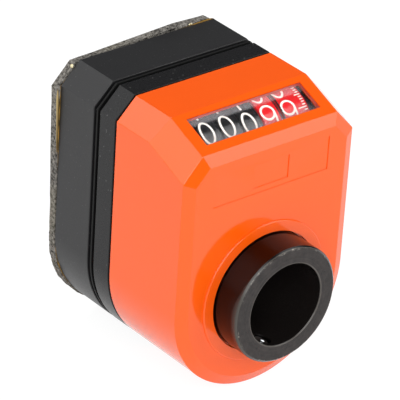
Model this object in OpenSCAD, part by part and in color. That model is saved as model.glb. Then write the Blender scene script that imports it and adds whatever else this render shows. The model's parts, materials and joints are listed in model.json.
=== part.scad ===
// Mechanical position indicator for a driven spindle: the spindle passes through a hollow steel hub,
// and a five-drum counter behind a sloping window shows how far it has turned. Millimetres.
// The spindle axis is Y, the front faces -Y, and the origin lies on that axis in the base's rear plane.

/* [Housing] */
// Width of the housing
housing_w = 48; // [47:0.5:54]
// Height of the level top above the spindle axis
top_height = 43; // [42:0.5:46]
// Leg of the bevel along both top corners
corner_bevel = 5; // [3:0.5:6]
// Fall of the sloping window face in degrees
slope_angle = 22; // [17:1:26]
// Distance of the crease behind the front face, along the spindle
slope_run = 12.4; // [11.6:0.2:13.4]
// Width of the bevel around the front face, seen from the front
front_bevel = 2.7; // [1.5:0.1:3.5]
// Depth of that bevel along the spindle
front_bevel_depth = 1.3; // [0.8:0.1:2]
// Wall of the coloured case
case_wall = 1.8; // [1.4:0.1:2]
// Thickness of the case's front face
front_wall = 2; // [1.6:0.1:2.4]
// Wall of the middle ring
ring_wall = 2.4; // [2:0.1:2.6]
// Wall of the rear base
base_wall = 3; // [2.4:0.1:3.4]
// Wall of the spigots that join base, ring and case
spigot_wall = 1.2; // [0.8:0.1:1.3]
// Length by which each spigot enters the next piece
spigot_reach = 3; // [2:0.5:4]

/* [Depths along the spindle] */
// Depth of the rear base
base_depth = 12.1; // [11:0.1:14]
// Thickness of the base's rear wall
rear_wall = 3; // [2.5:0.5:4]
// Gap between base and ring that the sealing lip sits in
joint_gap = 2.2; // [1.8:0.1:2.6]
// Thickness of that sealing lip
lip_t = 0.5; // [0.4:0.1:0.8]
// Distance of the lip's edge inside the housing's outline
lip_inset = 0.1; // [0.05:0.05:1]
// Depth of the middle ring
ring_depth = 5.9; // [5.2:0.1:7]
// Width of the shadow gap between ring and case
shadow_gap = 0.5; // [0.3:0.1:0.8]
// Depth of that gap
shadow_depth = 0.7; // [0.4:0.1:1]
// Depth of the coloured case
case_depth = 24.6; // [24:0.1:28]
// Thickness of the foam gasket
foam_t = 2; // [1:0.1:3]
// Thickness of the adhesive film under the foam
film_t = 0.2; // [0.1:0.05:0.4]
// Turn of the hand-laid foam about the spindle in degrees
foam_turn = 1.5; // [0:0.1:2]

/* [Hub] */
// Bore of the hub
bore_d = 20; // [14:0.5:21]
// Outside diameter of the hub
hub_d = 28.4; // [26:0.1:29]
// Length of the hub in front of the front face
hub_proud = 7.8; // [6.5:0.1:12]
// Length of the hub behind the base's rear plane
hub_tail = 0.5; // [0.5:0.1:1.5]
// Chamfer of the hub's edges
hub_chamfer = 0.5; // [0.3:0.1:0.8]
// Chamfer of the bore's front edge
bore_chamfer = 0.2; // [0.1:0.1:0.6]
// Step from the hub's outside down to its rear journal
journal_step = 1; // [0.5:0.1:1.5]
// Radius by which the hub's shoulder stands out in front of its gear
shoulder_step = 2; // [1.5:0.1:2.4]
// Thickness of that shoulder
shoulder_t = 1.7; // [1.2:0.1:2.2]
// Running gap between the hub and its bearings
hub_gap = 0.1; // [0.06:0.01:0.2]
// Wall of the bearing sleeve inside the case
sleeve_wall = 2.4; // [1.6:0.1:2.4]
// Thread size of the grub screw
grub_d = 5; // [4:0.5:6]
// Direction of the grub screw in degrees, seen from the front
grub_angle = 249; // [180:1:360]
// Across-flats size of the grub screw's hexagon socket
grub_socket = 2.5; // [2:0.5:3]
// Cord diameter of the front sealing ring
seal_cord = 1.3; // [1:0.1:1.6]

/* [Torque pin] */
// Diameter of the pin that stops the housing from turning
pin_d = 6; // [5:0.5:8]
// Height of the pin above the spindle axis
pin_height = 30; // [26:0.5:32]
// Length of the pin behind the base's rear plane
pin_proud = 8; // [6:0.5:12]
// Depth of the pin's shank inside the base
pin_shank = 5.5; // [4:0.5:6]

/* [Counter] */
// Outside radius of the digit drums
drum_r = 10.5; // [9.5:0.1:10.8]
// Gap between two drums
drum_gap = 0.7; // [0.6:0.05:0.8]
// Extra width of the last drum for its graduation
tick_band = 2.6; // [2:0.1:3]
// Sideways offset of the drums toward the graduated end
stack_shift = 0.7; // [0:0.1:1]
// Diameter of the drums' axle
axle_d = 3; // [2:0.1:3.2]
// Distance of the drums from the outside of the window
window_gap = 2; // [1.8:0.1:3]
// Distance of the drum axis in front of the crease, along the slope
drum_advance = 3.1; // [2.6:0.1:4]
// Height of the window along the slope
window_h = 7.95; // [6:0.05:9]
// Land between the crease and the window
window_land = 1.55; // [1:0.05:2]
// Window beyond the drums at each end
window_margin = 1.1; // [0.5:0.1:1.5]
// Thickness of the window lens
lens_t = 1.4; // [1:0.1:1.5]
// Thickness of the plates that carry the transfer pinions
plate_t = 0.45; // [0.3:0.05:0.5]
// Thickness of the counter frame's side plates
frame_t = 1.5; // [1.2:0.1:1.8]
// Room between the counter frame and the housing at each side
frame_room = 0.82; // [0.4:0.02:1.2]

/* [Gears] */
// Transverse module of the screw gears on hub and cross shaft
screw_module = 0.875; // [0.86:0.005:0.9]
// Width of the hub gear
hub_gear_w = 6; // [4:0.5:7]
// Length of the screw pinion
screw_pinion_l = 8; // [6:0.5:10]
// Width of the spur gears
spur_w = 1.5; // [1:0.1:1.6]
// Diameter of the cross shaft
cross_d = 3; // [2:0.1:3.5]

/* [Front face] */
// Width of the bare label field
label_w = 32.4; // [24:0.2:36]
// Height of the label field's lower edge above the spindle axis
label_low = 25.6; // [24:0.2:27]
// Height of the label field
label_h = 8.3; // [5:0.1:9]
// Width of the small plain panel in the label field
panel_w = 9.8; // [6:0.2:14]
// Height of that panel
panel_h = 5.7; // [4:0.1:6]
// Depth of each of the two recesses
label_depth = 0.2; // [0.1:0.05:0.3]
// Width of the low raised rim around the hub
rim_w = 3; // [2:0.1:3.4]
// Height of that rim
rim_h = 0.4; // [0.2:0.1:0.6]

/* [Hidden] */
$fn = 96;
overlap = 0.3;       // how far a rib runs into the wall that it grows from
press_gap = 0.03;    // clearance between pieces fixed to each other
run_gap = 0.08;      // clearance of small turning pieces
side_gap = 0.1;      // clearance between neighbouring faces
plate_side_gap = 0.6;  // clearance between the spur gears and the frame's plate
drum_side_gap = 0.3;   // clearance between the last drum's rim and its spur gear
reach = 120;         // longer than the whole part
mitre = tan(22.5);   // shift of a 45-degree bevel's ends for each unit of inset
corner_ease = 0.08;  // how much deeper the front bevel cuts at the two upper corners

half_w = housing_w / 2;
base_y = -base_depth;
ring_y = base_y - joint_gap;
case_y = ring_y - ring_depth;
front_y = case_y - case_depth;
crease_y = front_y + slope_run;
bevel_y = front_y + front_bevel_depth;
bevel_z = top_height - (crease_y - bevel_y) * tan(slope_angle);

// Counter frame across the housing, and between its plates the drums, the spur gears and their gaps
base_spigot = ring_wall + press_gap;
base_inside = base_spigot + spigot_wall;
frame_out = half_w - base_inside - frame_room;
frame_in = frame_out - frame_t;
spur_end = frame_in - plate_side_gap;
spur_x = spur_end - spur_w;

// Drum stack: five drums side by side on one axle, under the sloping window
drum_count = 5;
stack_end = spur_x - drum_side_gap;
stack_w = 2 * (stack_end - stack_shift);
stack_x = stack_end - stack_w;
digit_pitch = (stack_w + drum_gap - tick_band) / drum_count;
drum_w = digit_pitch - drum_gap;
axis_depth = drum_r + window_gap;
drum_y = crease_y - drum_advance * cos(slope_angle) + axis_depth * sin(slope_angle);
drum_z = top_height - drum_advance * sin(slope_angle) - axis_depth * cos(slope_angle);
axle_r = axle_d / 2;
drum_hub_r = axle_r + 0.9;
window_w = stack_w + 2 * window_margin;

// Transfer from each drum to the next: internal teeth in the rim and a pinion on a fixed plate
rim_t = 1.15;
ring_teeth = 20;
pinion_teeth = 6;
carry_module = 2 * (drum_r - rim_t) / (ring_teeth + 2);
carry_ring_r = carry_module * ring_teeth / 2;
carry_pinion_r = carry_module * pinion_teeth / 2;
carry_centre = carry_ring_r - carry_pinion_r;
collar_r = 0.62 * carry_pinion_r;
ring_pocket = 1.9;
carry_pocket = 1.4;
long_teeth_w = 1.4;
short_teeth_w = 0.5;
pressure = 20;

// Screw gears at 45 degrees between the hub and the cross shaft
hub_teeth = 40;
screw_teeth = 10;
screw_tooth = 0.8;
normal_module = screw_module * cos(45);
screw_pressure = atan(tan(pressure) / cos(45));
hub_gear_r = screw_module * hub_teeth / 2;
screw_r = screw_module * screw_teeth / 2;
screw_add = 0.9 * normal_module;
screw_ded = 1.15 * normal_module;
cross_z = hub_gear_r + screw_r;
gear_room_r = hub_gear_r + screw_add + 0.4;

// Spur gears between the cross shaft and the last drum, spaced so that the screw clears the drums
spur_teeth = 20;
spur_tooth = 0.82;
spur_centre = drum_r + screw_r + screw_add + 0.55;
spur_module = spur_centre / spur_teeth;
spur_add = 0.93 * spur_module;
spur_ded = 1.18 * spur_module;
cross_y = drum_y + sqrt(pow(spur_centre, 2) - pow(drum_z - cross_z, 2));
cross_r = cross_d / 2;
spur_line = atan2(cross_y - drum_y, drum_z - cross_z);
drum_neck_r = drum_hub_r + 1.6;

// Slotted bar of the frame behind the drums, and how far the side plates reach past their axes
bar_rise = 25;
bar_s = 3;
bar_reach = drum_r + 1 + bar_s / 2;
bar_y = drum_y + bar_reach * cos(bar_rise);
bar_z = drum_z + bar_reach * sin(bar_rise);
plate_r = drum_r - 0.5;
tab_w = 2.4;
frame_nose = 6;
frame_tail = 5;
rib_t = 1.5;
rib_h = 4;

// Hub and what sits on it, set out from the cross shaft
hub_r = hub_d / 2;
bore_r = bore_d / 2;
journal_r = hub_r - journal_step;
sleeve_r = hub_r + hub_gap;
shoulder_r = hub_r + shoulder_step;
hub_front_y = front_y - hub_proud;
gear_front_y = cross_y - hub_gear_w / 2;
gear_rear_y = cross_y + hub_gear_w / 2;
shoulder_y = gear_front_y - shoulder_t;
washer_t = 0.45;
washer_y = shoulder_y - side_gap - washer_t;
clip_t = 1.2;
clip_depth = 0.8;
seal_y = front_y + front_wall + 1.2;
seal_groove_r = sleeve_r - seal_cord - side_gap - press_gap;
seal_groove_w = seal_cord * 1.4;
grub_y = front_y - rim_h - (hub_proud - rim_h) / 2;
grub_recess = 0.3;

// Torque pin
pin_r = pin_d / 2;
shank_r = pin_r - 0.5;
pin_neck_r = pin_r - 0.2;
pin_neck_l = film_t + foam_t + 0.3;
boss_r = pin_r + 2;
boss_l = pin_shank + 0.6;
pin_hole_r = pin_r + 2;

// Gear outlines

function polar(r, a) = [r * cos(a), r * sin(a)];

function involute(a) = tan(a) * 180 / PI - a;

// Half of a tooth's angle at radius r; share is the tooth's part of half a pitch on the pitch circle
function tooth_half(r, n, m, angle, share) =
  let (base_r = n * m / 2 * cos(angle))
  90 / n * share + involute(angle) - (r > base_r ? involute(acos(base_r / r)) : 0);

// Outline of a gear with some points on each flank; with every = 2 only each second tooth stands up
function gear_points(n, m, angle, add, ded, share, flank = 5, every = 1) =
  let (root_r = n * m / 2 - ded)
  let (full = [for (k = [0 : flank - 1]) root_r + (add + ded) * k / (flank - 1)])
  [
    for (i = [0 : n - 1])
      let (radii = i % every == 0 ? full : [full[0]])
      let (last = len(radii) - 1)
      each concat(
        [for (k = [0 : last]) polar(radii[k], 360 * i / n - tooth_half(radii[k], n, m, angle, share))],
        [for (k = [last : -1 : 0]) polar(radii[k], 360 * i / n + tooth_half(radii[k], n, m, angle, share))]
      )
  ];

// Many-sided hole whose flats clear a shaft of radius r
function flat_hole(r, n = 40) = [for (i = [0 : n - 1]) polar(r / cos(180 / n), 360 * i / n)];

// Placing

module along_y(y0, y1) {
  translate([0, y1, 0]) rotate([90, 0, 0]) linear_extrude(y1 - y0) children();
}

module revolve_y() {
  rotate([-90, 0, 0]) rotate_extrude() children();
}

module rod_y(r, y0, y1) {
  translate([0, y0, 0]) rotate([-90, 0, 0]) cylinder(r = r, h = y1 - y0);
}

module on_slope() {
  translate([0, crease_y, top_height]) rotate([slope_angle, 0, 0]) children();
}

module on_drum_axis(x) {
  translate([x, drum_y, drum_z]) rotate([0, 90, 0]) children();
}

module on_cross_axis(x) {
  translate([x, cross_y, cross_z]) rotate([0, 90, 0]) children();
}

module both_sides() {
  children();
  mirror([1, 0, 0]) children();
}

// Removes everything beyond a plane through point p with outward direction n
module beyond(p, n) {
  translate(p) rotate([0, acos(n[2] / norm(n)), atan2(n[1], n[0])])
    translate([-reach, -reach, 0]) cube([2 * reach, 2 * reach, reach]);
}

// Housing forms

// Front outline: half round below, square above with bevelled corners, drawn inset inside the outside
module outline(inset = 0) {
  w = half_w - inset;
  shoulder = corner_bevel + inset * mitre;
  circle(r = w);
  polygon([
    [-w, 0], [w, 0], [w, top_height - shoulder], [half_w - shoulder, top_height - inset],
    [shoulder - half_w, top_height - inset], [-w, top_height - shoulder]
  ]);
}

module slab(inset, y0, y1) {
  along_y(y0, y1) outline(inset);
}

// Everything under the slope and its two corner bevels
module under_slope(inset) {
  w = half_w - corner_bevel - inset * mitre;
  on_slope() translate([0, 0, -inset]) along_y(-reach, reach)
    polygon([[-w, 0], [w, 0], [w + reach, -reach], [-w - reach, -reach]]);
}

module case_form(inset, y0, y1) {
  intersection() {
    slab(inset, y0, y1);
    under_slope(inset);
  }
}

module front_bevel_cuts() {
  fall = cos(slope_angle);
  corner = [1, fall] / norm([1, fall]);
  beyond([0, bevel_y, bevel_z], [0, -front_bevel, front_bevel_depth]);
  both_sides() {
    beyond([half_w, bevel_y, 0], [front_bevel_depth, -front_bevel, 0]);
    beyond([half_w - corner_bevel - corner_ease * corner[0], bevel_y, bevel_z - corner_ease * corner[1]],
      [front_bevel_depth * corner[0], -front_bevel, front_bevel_depth * corner[1]]);
  }
  run = front_bevel / front_bevel_depth;
  rotate([-90, 0, 0]) rotate_extrude(angle = 180) polygon([
    [half_w, bevel_y], [half_w - front_bevel - run, front_y - 1],
    [half_w + 1, front_y - 1], [half_w + 1, bevel_y]
  ]);
}

// Sub-parts of the housing

module front_case() {
  sleeve_end = washer_y;
  inside_y = front_y + front_wall;
  color("#f4581a") difference() {
    union() {
      difference() {
        case_form(0, front_y, case_y);
        front_bevel_cuts();
        case_form(case_wall, inside_y, case_y + 1);
      }
      rod_y(sleeve_r + sleeve_wall, front_y + 0.5, sleeve_end);
      revolve_y() polygon([
        [sleeve_r, front_y + 1], [hub_r + rim_w, front_y + 1], [hub_r + rim_w, front_y - rim_h / 2],
        [hub_r + rim_w - rim_h / 2, front_y - rim_h], [sleeve_r, front_y - rim_h]
      ]);
      both_sides() frame_ribs(inside_y);
    }
    rod_y(sleeve_r, front_y - reach, 0);
    rod_y(sleeve_r + 0.3, front_y - 1, front_y + 1);
    window_block(0, -case_wall - 1, 1);
    label_recess();
  }
}

// Ribs in the case that hold the counter frame from the sides and from the front
module frame_ribs(inside_y) {
  pad_w = half_w - case_wall + overlap - frame_out - side_gap;
  for (rise = [-frame_nose, frame_nose / 4])
    translate([frame_out + side_gap, drum_y - frame_nose, drum_z + rise])
      cube([pad_w, 2 * frame_nose - 1, rib_t]);
  translate([frame_in, inside_y - overlap, drum_z - rib_h / 2])
    cube([frame_t, drum_y - frame_nose - side_gap - inside_y + overlap, rib_h]);
}

module window_block(gap, z0, z1) {
  on_slope() translate([gap - window_w / 2, gap - window_land - window_h, z0])
    cube([window_w - 2 * gap, window_h - 2 * gap, z1 - z0]);
}

module label_recess() {
  centre_z = label_low + label_h / 2;
  translate([-label_w / 2, front_y - 1, label_low]) cube([label_w, 1 + label_depth, label_h]);
  translate([-panel_w / 2, front_y - 1, centre_z - panel_h / 2])
    cube([panel_w, 1 + 2 * label_depth, panel_h]);
}

module window_lens() {
  color("#f2f4f5", 0.35) window_block(press_gap, -side_gap - lens_t, -side_gap);
}

module middle_ring() {
  color("#2b2b2c") difference() {
    union() {
      slab(0, case_y + shadow_gap, ring_y);
      slab(shadow_depth, case_y, ring_y);
      slab(case_wall + press_gap, case_y - spigot_reach, case_y + 1);
    }
    slab(ring_wall, case_y, ring_y + 1);
    slab(case_wall + press_gap + spigot_wall, case_y - spigot_reach - 1, case_y + 1);
  }
}

module joint_seal() {
  lip_y = base_y - (joint_gap - lip_t) / 2;
  color("#6b6b6a") difference() {
    slab(lip_inset, lip_y - lip_t, lip_y);
    slab(ring_wall, lip_y - lip_t - 1, lip_y + 1);
  }
}

module rear_base() {
  post_y = cross_y + frame_tail + side_gap;
  color("#2f2f30") difference() {
    union() {
      difference() {
        union() {
          slab(0, base_y, 0);
          slab(base_spigot, ring_y - spigot_reach, base_y + 1);
        }
        slab(base_wall, base_y, -rear_wall);
        slab(base_inside, ring_y - spigot_reach - 1, base_y + 1);
        rod_y(gear_room_r, ring_y - spigot_reach - 1, -rear_wall);
      }
      translate([0, 0, pin_height]) rod_y(boss_r, -rear_wall - boss_l, -rear_wall + overlap);
      rod_y(journal_r + hub_gap + sleeve_wall, -rear_wall, -rear_wall + overlap);
      both_sides() translate([frame_in, post_y, cross_z - rib_h / 2])
        cube([frame_t, -rear_wall + overlap - post_y, rib_h]);
    }
    rod_y(journal_r + hub_gap, -reach, reach);
    translate([0, 0, pin_height]) rod_y(shank_r + press_gap, -pin_shank - side_gap, 1);
  }
}

// Film and foam share one outline, turned a little as it was laid by hand
module rear_layer(y0, y1) {
  rotate([0, -foam_turn, 0]) difference() {
    slab(side_gap, y0, y1);
    rod_y(hub_r + 1.5, y0 - 1, y1 + 1);
    rotate([0, foam_turn, 0]) translate([0, 0, pin_height]) rod_y(pin_hole_r, y0 - 1, y1 + 1);
  }
}

module adhesive_film() {
  color("#c9a94f") rear_layer(0, film_t);
}

module foam_gasket() {
  color("#77787a") rear_layer(film_t, film_t + foam_t);
}

module torque_pin() {
  chamfer = 0.5;
  color("#b9bcc0") translate([0, 0, pin_height]) revolve_y() polygon([
    [0, -pin_shank], [shank_r, -pin_shank], [shank_r, 0], [pin_neck_r, 0], [pin_neck_r, pin_neck_l],
    [pin_r, pin_neck_l], [pin_r, pin_proud - chamfer], [pin_r - chamfer, pin_proud], [0, pin_proud]
  ]);
}

module thrust_washer() {
  color("#e6e2d6") difference() {
    rod_y(shoulder_r, washer_y, washer_y + washer_t);
    rod_y(sleeve_r, washer_y - 1, washer_y + washer_t + 1);
  }
}

// Counter frame

// Side plate seen along X, drawn in (y, z) round the drum axle, the slotted bar and the cross shaft
module side_plate_outline() {
  n = frame_nose;
  t = frame_tail;
  polygon([
    [drum_y - n, drum_z - n / 2], [drum_y - n, drum_z + n / 2], [drum_y - n / 2, drum_z + n],
    [bar_y - 1, bar_z + 2], [bar_y + 2, bar_z + 1], [cross_y + t, cross_z + t / 2],
    [cross_y + t, cross_z - t / 2], [cross_y + t / 2, cross_z - t], [cross_y - t / 2, cross_z - t],
    [drum_y - n / 2, drum_z - n]
  ]);
}

module side_plate(x) {
  translate([x, 0, 0]) rotate([90, 0, 90]) linear_extrude(frame_t) side_plate_outline();
}

module slotted_bar() {
  slot = plate_t + side_gap;
  on_drum_axis(0) rotate([0, 0, 90 + bar_rise]) difference() {
    translate([bar_reach - bar_s / 2, -bar_s / 2, -frame_in - overlap])
      cube([bar_s, bar_s, 2 * (frame_in + overlap)]);
    for (i = [1 : drum_count - 1])
      translate([bar_reach - bar_s, -tab_w / 2 - side_gap, gap_x(i) - slot / 2])
        cube([bar_s, tab_w + 2 * side_gap, slot]);
  }
}

module counter_frame() {
  color("#2a2a2c") difference() {
    union() {
      side_plate(frame_in);
      side_plate(-frame_out);
      slotted_bar();
      on_drum_axis(-frame_in - overlap) cylinder(r = drum_hub_r, h = stack_x - side_gap + frame_in + overlap);
      on_drum_axis(spur_end + side_gap)
        cylinder(r = drum_hub_r, h = frame_in + overlap - spur_end - side_gap);
    }
    on_drum_axis(-reach) cylinder(r = axle_r + press_gap, h = 2 * reach);
    on_cross_axis(-reach) cylinder(r = cross_r + run_gap, h = 2 * reach);
  }
}

module drum_axle() {
  end_chamfer = 0.3;
  half_l = frame_out + 0.05;
  color("#c4c7ca") on_drum_axis(0) rotate_extrude() polygon([
    [0, -half_l], [axle_r - end_chamfer, -half_l], [axle_r, end_chamfer - half_l],
    [axle_r, half_l - end_chamfer], [axle_r - end_chamfer, half_l], [0, half_l]
  ]);
}

// Middle of the gap to the left of drum i, counted from 0
function gap_x(i) = stack_x + i * digit_pitch - drum_gap / 2;

// Fixed plate between two drums, with a tab into the slotted bar and an open slot for the pinion's collar
module carry_plate(i) {
  slot_r = collar_r + run_gap;
  color("#343436") on_drum_axis(gap_x(i) - plate_t / 2) difference() {
    union() {
      cylinder(r = plate_r, h = plate_t);
      rotate([0, 0, 90 + bar_rise]) translate([plate_r - 1, -tab_w / 2, 0])
        cube([bar_reach - plate_r + 1 - side_gap, tab_w, plate_t]);
    }
    translate([0, 0, -1]) cylinder(r = axle_r + press_gap, h = plate_t + 2);
    translate([carry_centre, 0, -1]) cylinder(r = slot_r, h = plate_t + 2);
    translate([carry_centre, -slot_r, -1]) cube([drum_r, 2 * slot_r, plate_t + 2]);
  }
}

// Hub and its pieces

module hub() {
  c = hub_chamfer;
  end_y = hub_tail;
  clip_y = gear_rear_y + side_gap;
  step_y = -rear_wall - side_gap;
  dir = [cos(grub_angle), sin(grub_angle)];
  color("#3c3c3b") difference() {
    revolve_y() polygon([
      [bore_r + bore_chamfer, hub_front_y], [hub_r - c, hub_front_y], [hub_r, hub_front_y + c],
      [hub_r, seal_y], [seal_groove_r, seal_y], [seal_groove_r, seal_y + seal_groove_w],
      [hub_r, seal_y + seal_groove_w], [hub_r, shoulder_y], [shoulder_r, shoulder_y],
      [shoulder_r, gear_front_y], [hub_r, gear_front_y], [hub_r, clip_y], [hub_r - clip_depth, clip_y],
      [hub_r - clip_depth, clip_y + clip_t + side_gap], [hub_r, clip_y + clip_t + side_gap],
      [hub_r, step_y], [journal_r, step_y], [journal_r, end_y - c], [journal_r - c, end_y],
      [bore_r + c, end_y], [bore_r, end_y - c], [bore_r, hub_front_y + bore_chamfer]
    ]);
    translate([dir[0] * hub_r, grub_y, dir[1] * hub_r]) rotate([0, 90 - grub_angle, 0])
      cylinder(r = grub_d / 2 + press_gap, h = 2 * (hub_r - bore_r) + 2, center = true);
  }
}

module screw_gear(teeth, width, slices, hole) {
  turn = width / (teeth * screw_module / 2) * 180 / PI;
  rotate([0, 0, -turn / 2]) linear_extrude(width, center = true, twist = -turn, slices = slices)
    difference() {
      polygon(gear_points(teeth, screw_module, screw_pressure, screw_add, screw_ded, screw_tooth, flank = 3));
      polygon(flat_hole(hole));
    }
}

module hub_gear() {
  color("#d9d2bf") translate([0, cross_y, 0]) rotate([-90, 0, 0])
    screw_gear(hub_teeth, hub_gear_w, 5, hub_r + 0.15);
}

module gear_circlip() {
  gap_w = 7;
  clip_y = gear_rear_y + 1.5 * side_gap;
  color("#55575a") difference() {
    rod_y(hub_r + 1.8, clip_y, clip_y + clip_t);
    rod_y(hub_r - clip_depth + press_gap, clip_y - 1, clip_y + clip_t + 1);
    translate([-gap_w / 2, clip_y - 1, -reach]) cube([gap_w, clip_t + 2, reach]);
  }
}

module grub_screw() {
  length = hub_r - bore_r - 2 * grub_recess;
  tip_r = grub_d / 2;
  cup = 0.6;
  color("#2b2b2d") translate([0, grub_y, 0]) rotate([0, 90 - grub_angle, 0])
    translate([0, 0, bore_r + grub_recess]) difference() {
      rotate_extrude() polygon([
        [0, cup], [tip_r - 1.1, 0], [tip_r - cup, 0], [tip_r, cup], [tip_r, length - 0.4],
        [tip_r - 0.4, length], [0, length]
      ]);
      translate([0, 0, length / 2]) cylinder(d = grub_socket / cos(30), h = length, $fn = 6);
    }
}

module front_seal() {
  centre_r = seal_groove_r + press_gap + seal_cord / 2;
  color("#1c1c1d") revolve_y() translate([centre_r, seal_y + seal_groove_w / 2])
    circle(d = seal_cord, $fn = 32);
}

// Cross shaft and its gears

module cross_shaft() {
  half_l = frame_out - 0.2;
  color("#c4c7ca") on_cross_axis(-half_l) cylinder(r = cross_r, h = 2 * half_l);
}

module screw_pinion() {
  color("#e9e4d4") on_cross_axis(0) rotate([0, 0, 180 / screw_teeth])
    screw_gear(screw_teeth, screw_pinion_l, 16, cross_r + 0.08);
}

module spur_gear(hole) {
  linear_extrude(spur_w) difference() {
    polygon(gear_points(spur_teeth, spur_module, pressure, spur_add, spur_ded, spur_tooth));
    polygon(flat_hole(hole));
  }
}

module cross_gear() {
  color("#e9e4d4") on_cross_axis(spur_x) rotate([0, 0, spur_line + 180 + 180 / spur_teeth])
    spur_gear(cross_r + press_gap);
}

module drum_gear() {
  color("#2a2a2c") on_drum_axis(spur_x) rotate([0, 0, spur_line]) spur_gear(drum_neck_r + press_gap);
}

// Drums

// Drum i counted from 0 at the left: internal teeth on its right side take the carry from the next drum,
// two teeth in its left pocket pass the carry on
module drum(i) {
  last = i == drum_count - 1;
  width = last ? drum_w + tick_band : drum_w;
  on_drum_axis(stack_x + i * digit_pitch) difference() {
    union() {
      difference() {
        cylinder(r = drum_r, h = width);
        if (i > 0) translate([0, 0, -1]) cylinder(r = drum_r - rim_t, h = carry_pocket + 1);
        if (!last) translate([0, 0, width - ring_pocket]) linear_extrude(ring_pocket + 1) carry_ring();
      }
      if (i > 0) carry_teeth();
      cylinder(r = drum_hub_r, h = width);
      if (last) translate([0, 0, carry_pocket])
        cylinder(r = drum_neck_r, h = width + spur_end - stack_end - carry_pocket);
    }
    translate([0, 0, -1]) cylinder(r = axle_r + run_gap, h = reach);
  }
}

// Internal teeth of the carry, drawn as the hole that they stand in
module carry_ring() {
  add = carry_module * 0.95;
  ded = carry_module * 0.65;
  polygon(gear_points(ring_teeth, carry_module, pressure, add, ded, 1.25));
}

// Two carry teeth at the top of the pocket, clear of the pinion's end face
module carry_teeth() {
  tooth_w = carry_module;
  tooth_l = carry_module * 1.6;
  height = carry_pocket - short_teeth_w - side_gap;
  for (turn = [180 - 180 / ring_teeth, 180 + 180 / ring_teeth])
    rotate([0, 0, turn]) translate([drum_r - rim_t - tooth_l, -tooth_w / 2, carry_pocket - height])
      cube([tooth_l + overlap, tooth_w, height + overlap]);
}

// Pinion between two drums: long teeth to the left, a collar in the plate, short alternate teeth to the right
module carry_pinion(i) {
  add = carry_module * 0.72;
  ded = carry_module * 0.95;
  half_gap = drum_gap / 2;
  color("#f0ece0") on_drum_axis(gap_x(i)) translate([carry_centre, 0, 0]) {
    translate([0, 0, -half_gap - long_teeth_w]) linear_extrude(long_teeth_w)
      polygon(gear_points(pinion_teeth, carry_module, pressure, add, ded, 0.75));
    translate([0, 0, -half_gap - overlap]) cylinder(r = collar_r, h = 2 * (half_gap + overlap));
    translate([0, 0, half_gap]) linear_extrude(short_teeth_w)
      polygon(gear_points(pinion_teeth, carry_module, pressure, add, ded, 0.75, every = 2));
  }
}

front_case();
window_lens();
middle_ring();
joint_seal();
rear_base();
adhesive_film();
foam_gasket();
torque_pin();
thrust_washer();
counter_frame();
drum_axle();
carry_plate(1);  // carry_plate_1
carry_plate(2);  // carry_plate_2
carry_plate(3);  // carry_plate_3
carry_plate(4);  // carry_plate_4
hub();
hub_gear();
gear_circlip();
grub_screw();
front_seal();
cross_shaft();
screw_pinion();
cross_gear();
color("#202022") drum(0);  // drum_1
color("#202022") drum(1);  // drum_2
color("#202022") drum(2);  // drum_3
color("#cf2a2a") drum(3);  // drum_4
color("#cf2a2a") drum(4);  // drum_5
drum_gear();
carry_pinion(1);  // carry_pinion_1
carry_pinion(2);  // carry_pinion_2
carry_pinion(3);  // carry_pinion_3
carry_pinion(4);  // carry_pinion_4
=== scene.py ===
"""Looks of a mechanical position indicator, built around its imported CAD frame."""
import json
import math

import bmesh
import bpy
from bpy.props import FloatProperty, FloatVectorProperty, PointerProperty
from mathutils import Matrix, Quaternion, Vector, noise
from mathutils.bvhtree import BVHTree


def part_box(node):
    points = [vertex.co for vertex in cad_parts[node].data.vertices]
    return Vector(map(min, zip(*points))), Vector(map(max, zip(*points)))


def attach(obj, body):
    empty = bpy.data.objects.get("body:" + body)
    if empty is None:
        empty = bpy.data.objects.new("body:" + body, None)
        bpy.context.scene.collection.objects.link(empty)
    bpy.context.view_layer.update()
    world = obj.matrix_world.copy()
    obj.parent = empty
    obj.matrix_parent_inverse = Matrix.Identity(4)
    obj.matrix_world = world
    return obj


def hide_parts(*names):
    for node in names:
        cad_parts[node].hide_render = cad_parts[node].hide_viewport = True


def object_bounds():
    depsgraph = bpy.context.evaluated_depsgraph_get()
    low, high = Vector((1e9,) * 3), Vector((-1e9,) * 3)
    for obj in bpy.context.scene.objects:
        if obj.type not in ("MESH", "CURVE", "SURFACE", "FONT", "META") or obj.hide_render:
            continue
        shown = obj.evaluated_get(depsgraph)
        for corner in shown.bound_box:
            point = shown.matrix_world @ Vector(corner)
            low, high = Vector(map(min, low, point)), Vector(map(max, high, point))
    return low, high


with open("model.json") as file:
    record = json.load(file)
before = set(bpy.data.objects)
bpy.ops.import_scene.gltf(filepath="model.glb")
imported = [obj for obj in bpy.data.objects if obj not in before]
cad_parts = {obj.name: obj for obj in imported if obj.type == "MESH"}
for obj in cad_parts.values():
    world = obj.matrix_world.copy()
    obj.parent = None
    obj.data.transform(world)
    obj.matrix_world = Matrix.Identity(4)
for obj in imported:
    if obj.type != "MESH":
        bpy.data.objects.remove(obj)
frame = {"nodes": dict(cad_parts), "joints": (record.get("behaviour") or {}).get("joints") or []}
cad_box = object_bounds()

bl_info = {
    "name": "Position indicator",
    "version": (1, 0, 0),
    "blender": (4, 5, 0),
    "location": "3D View > Sidebar > Indicator",
    "description": "Dresses the packed position indicator and sets up its studio",
    "category": "Object",
}

MM = 0.001
NODES = frame["nodes"]
JOINTS = {joint["name"]: joint for joint in frame["joints"]}
# Numbers of the drums, how many of them are black, and numbers of the transfers between them
DRUMS = range(1, 6)
BLACK_DRUMS = 3
CARRIES = range(1, 5)
# Radii of the rim of the hub's end, of its bore's mouth, and of the drums' printed faces
HUB_EDGE = 13.7 * MM
BORE_EDGE = 10.15 * MM
DRUM_RADIUS = 10.5 * MM


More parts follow.
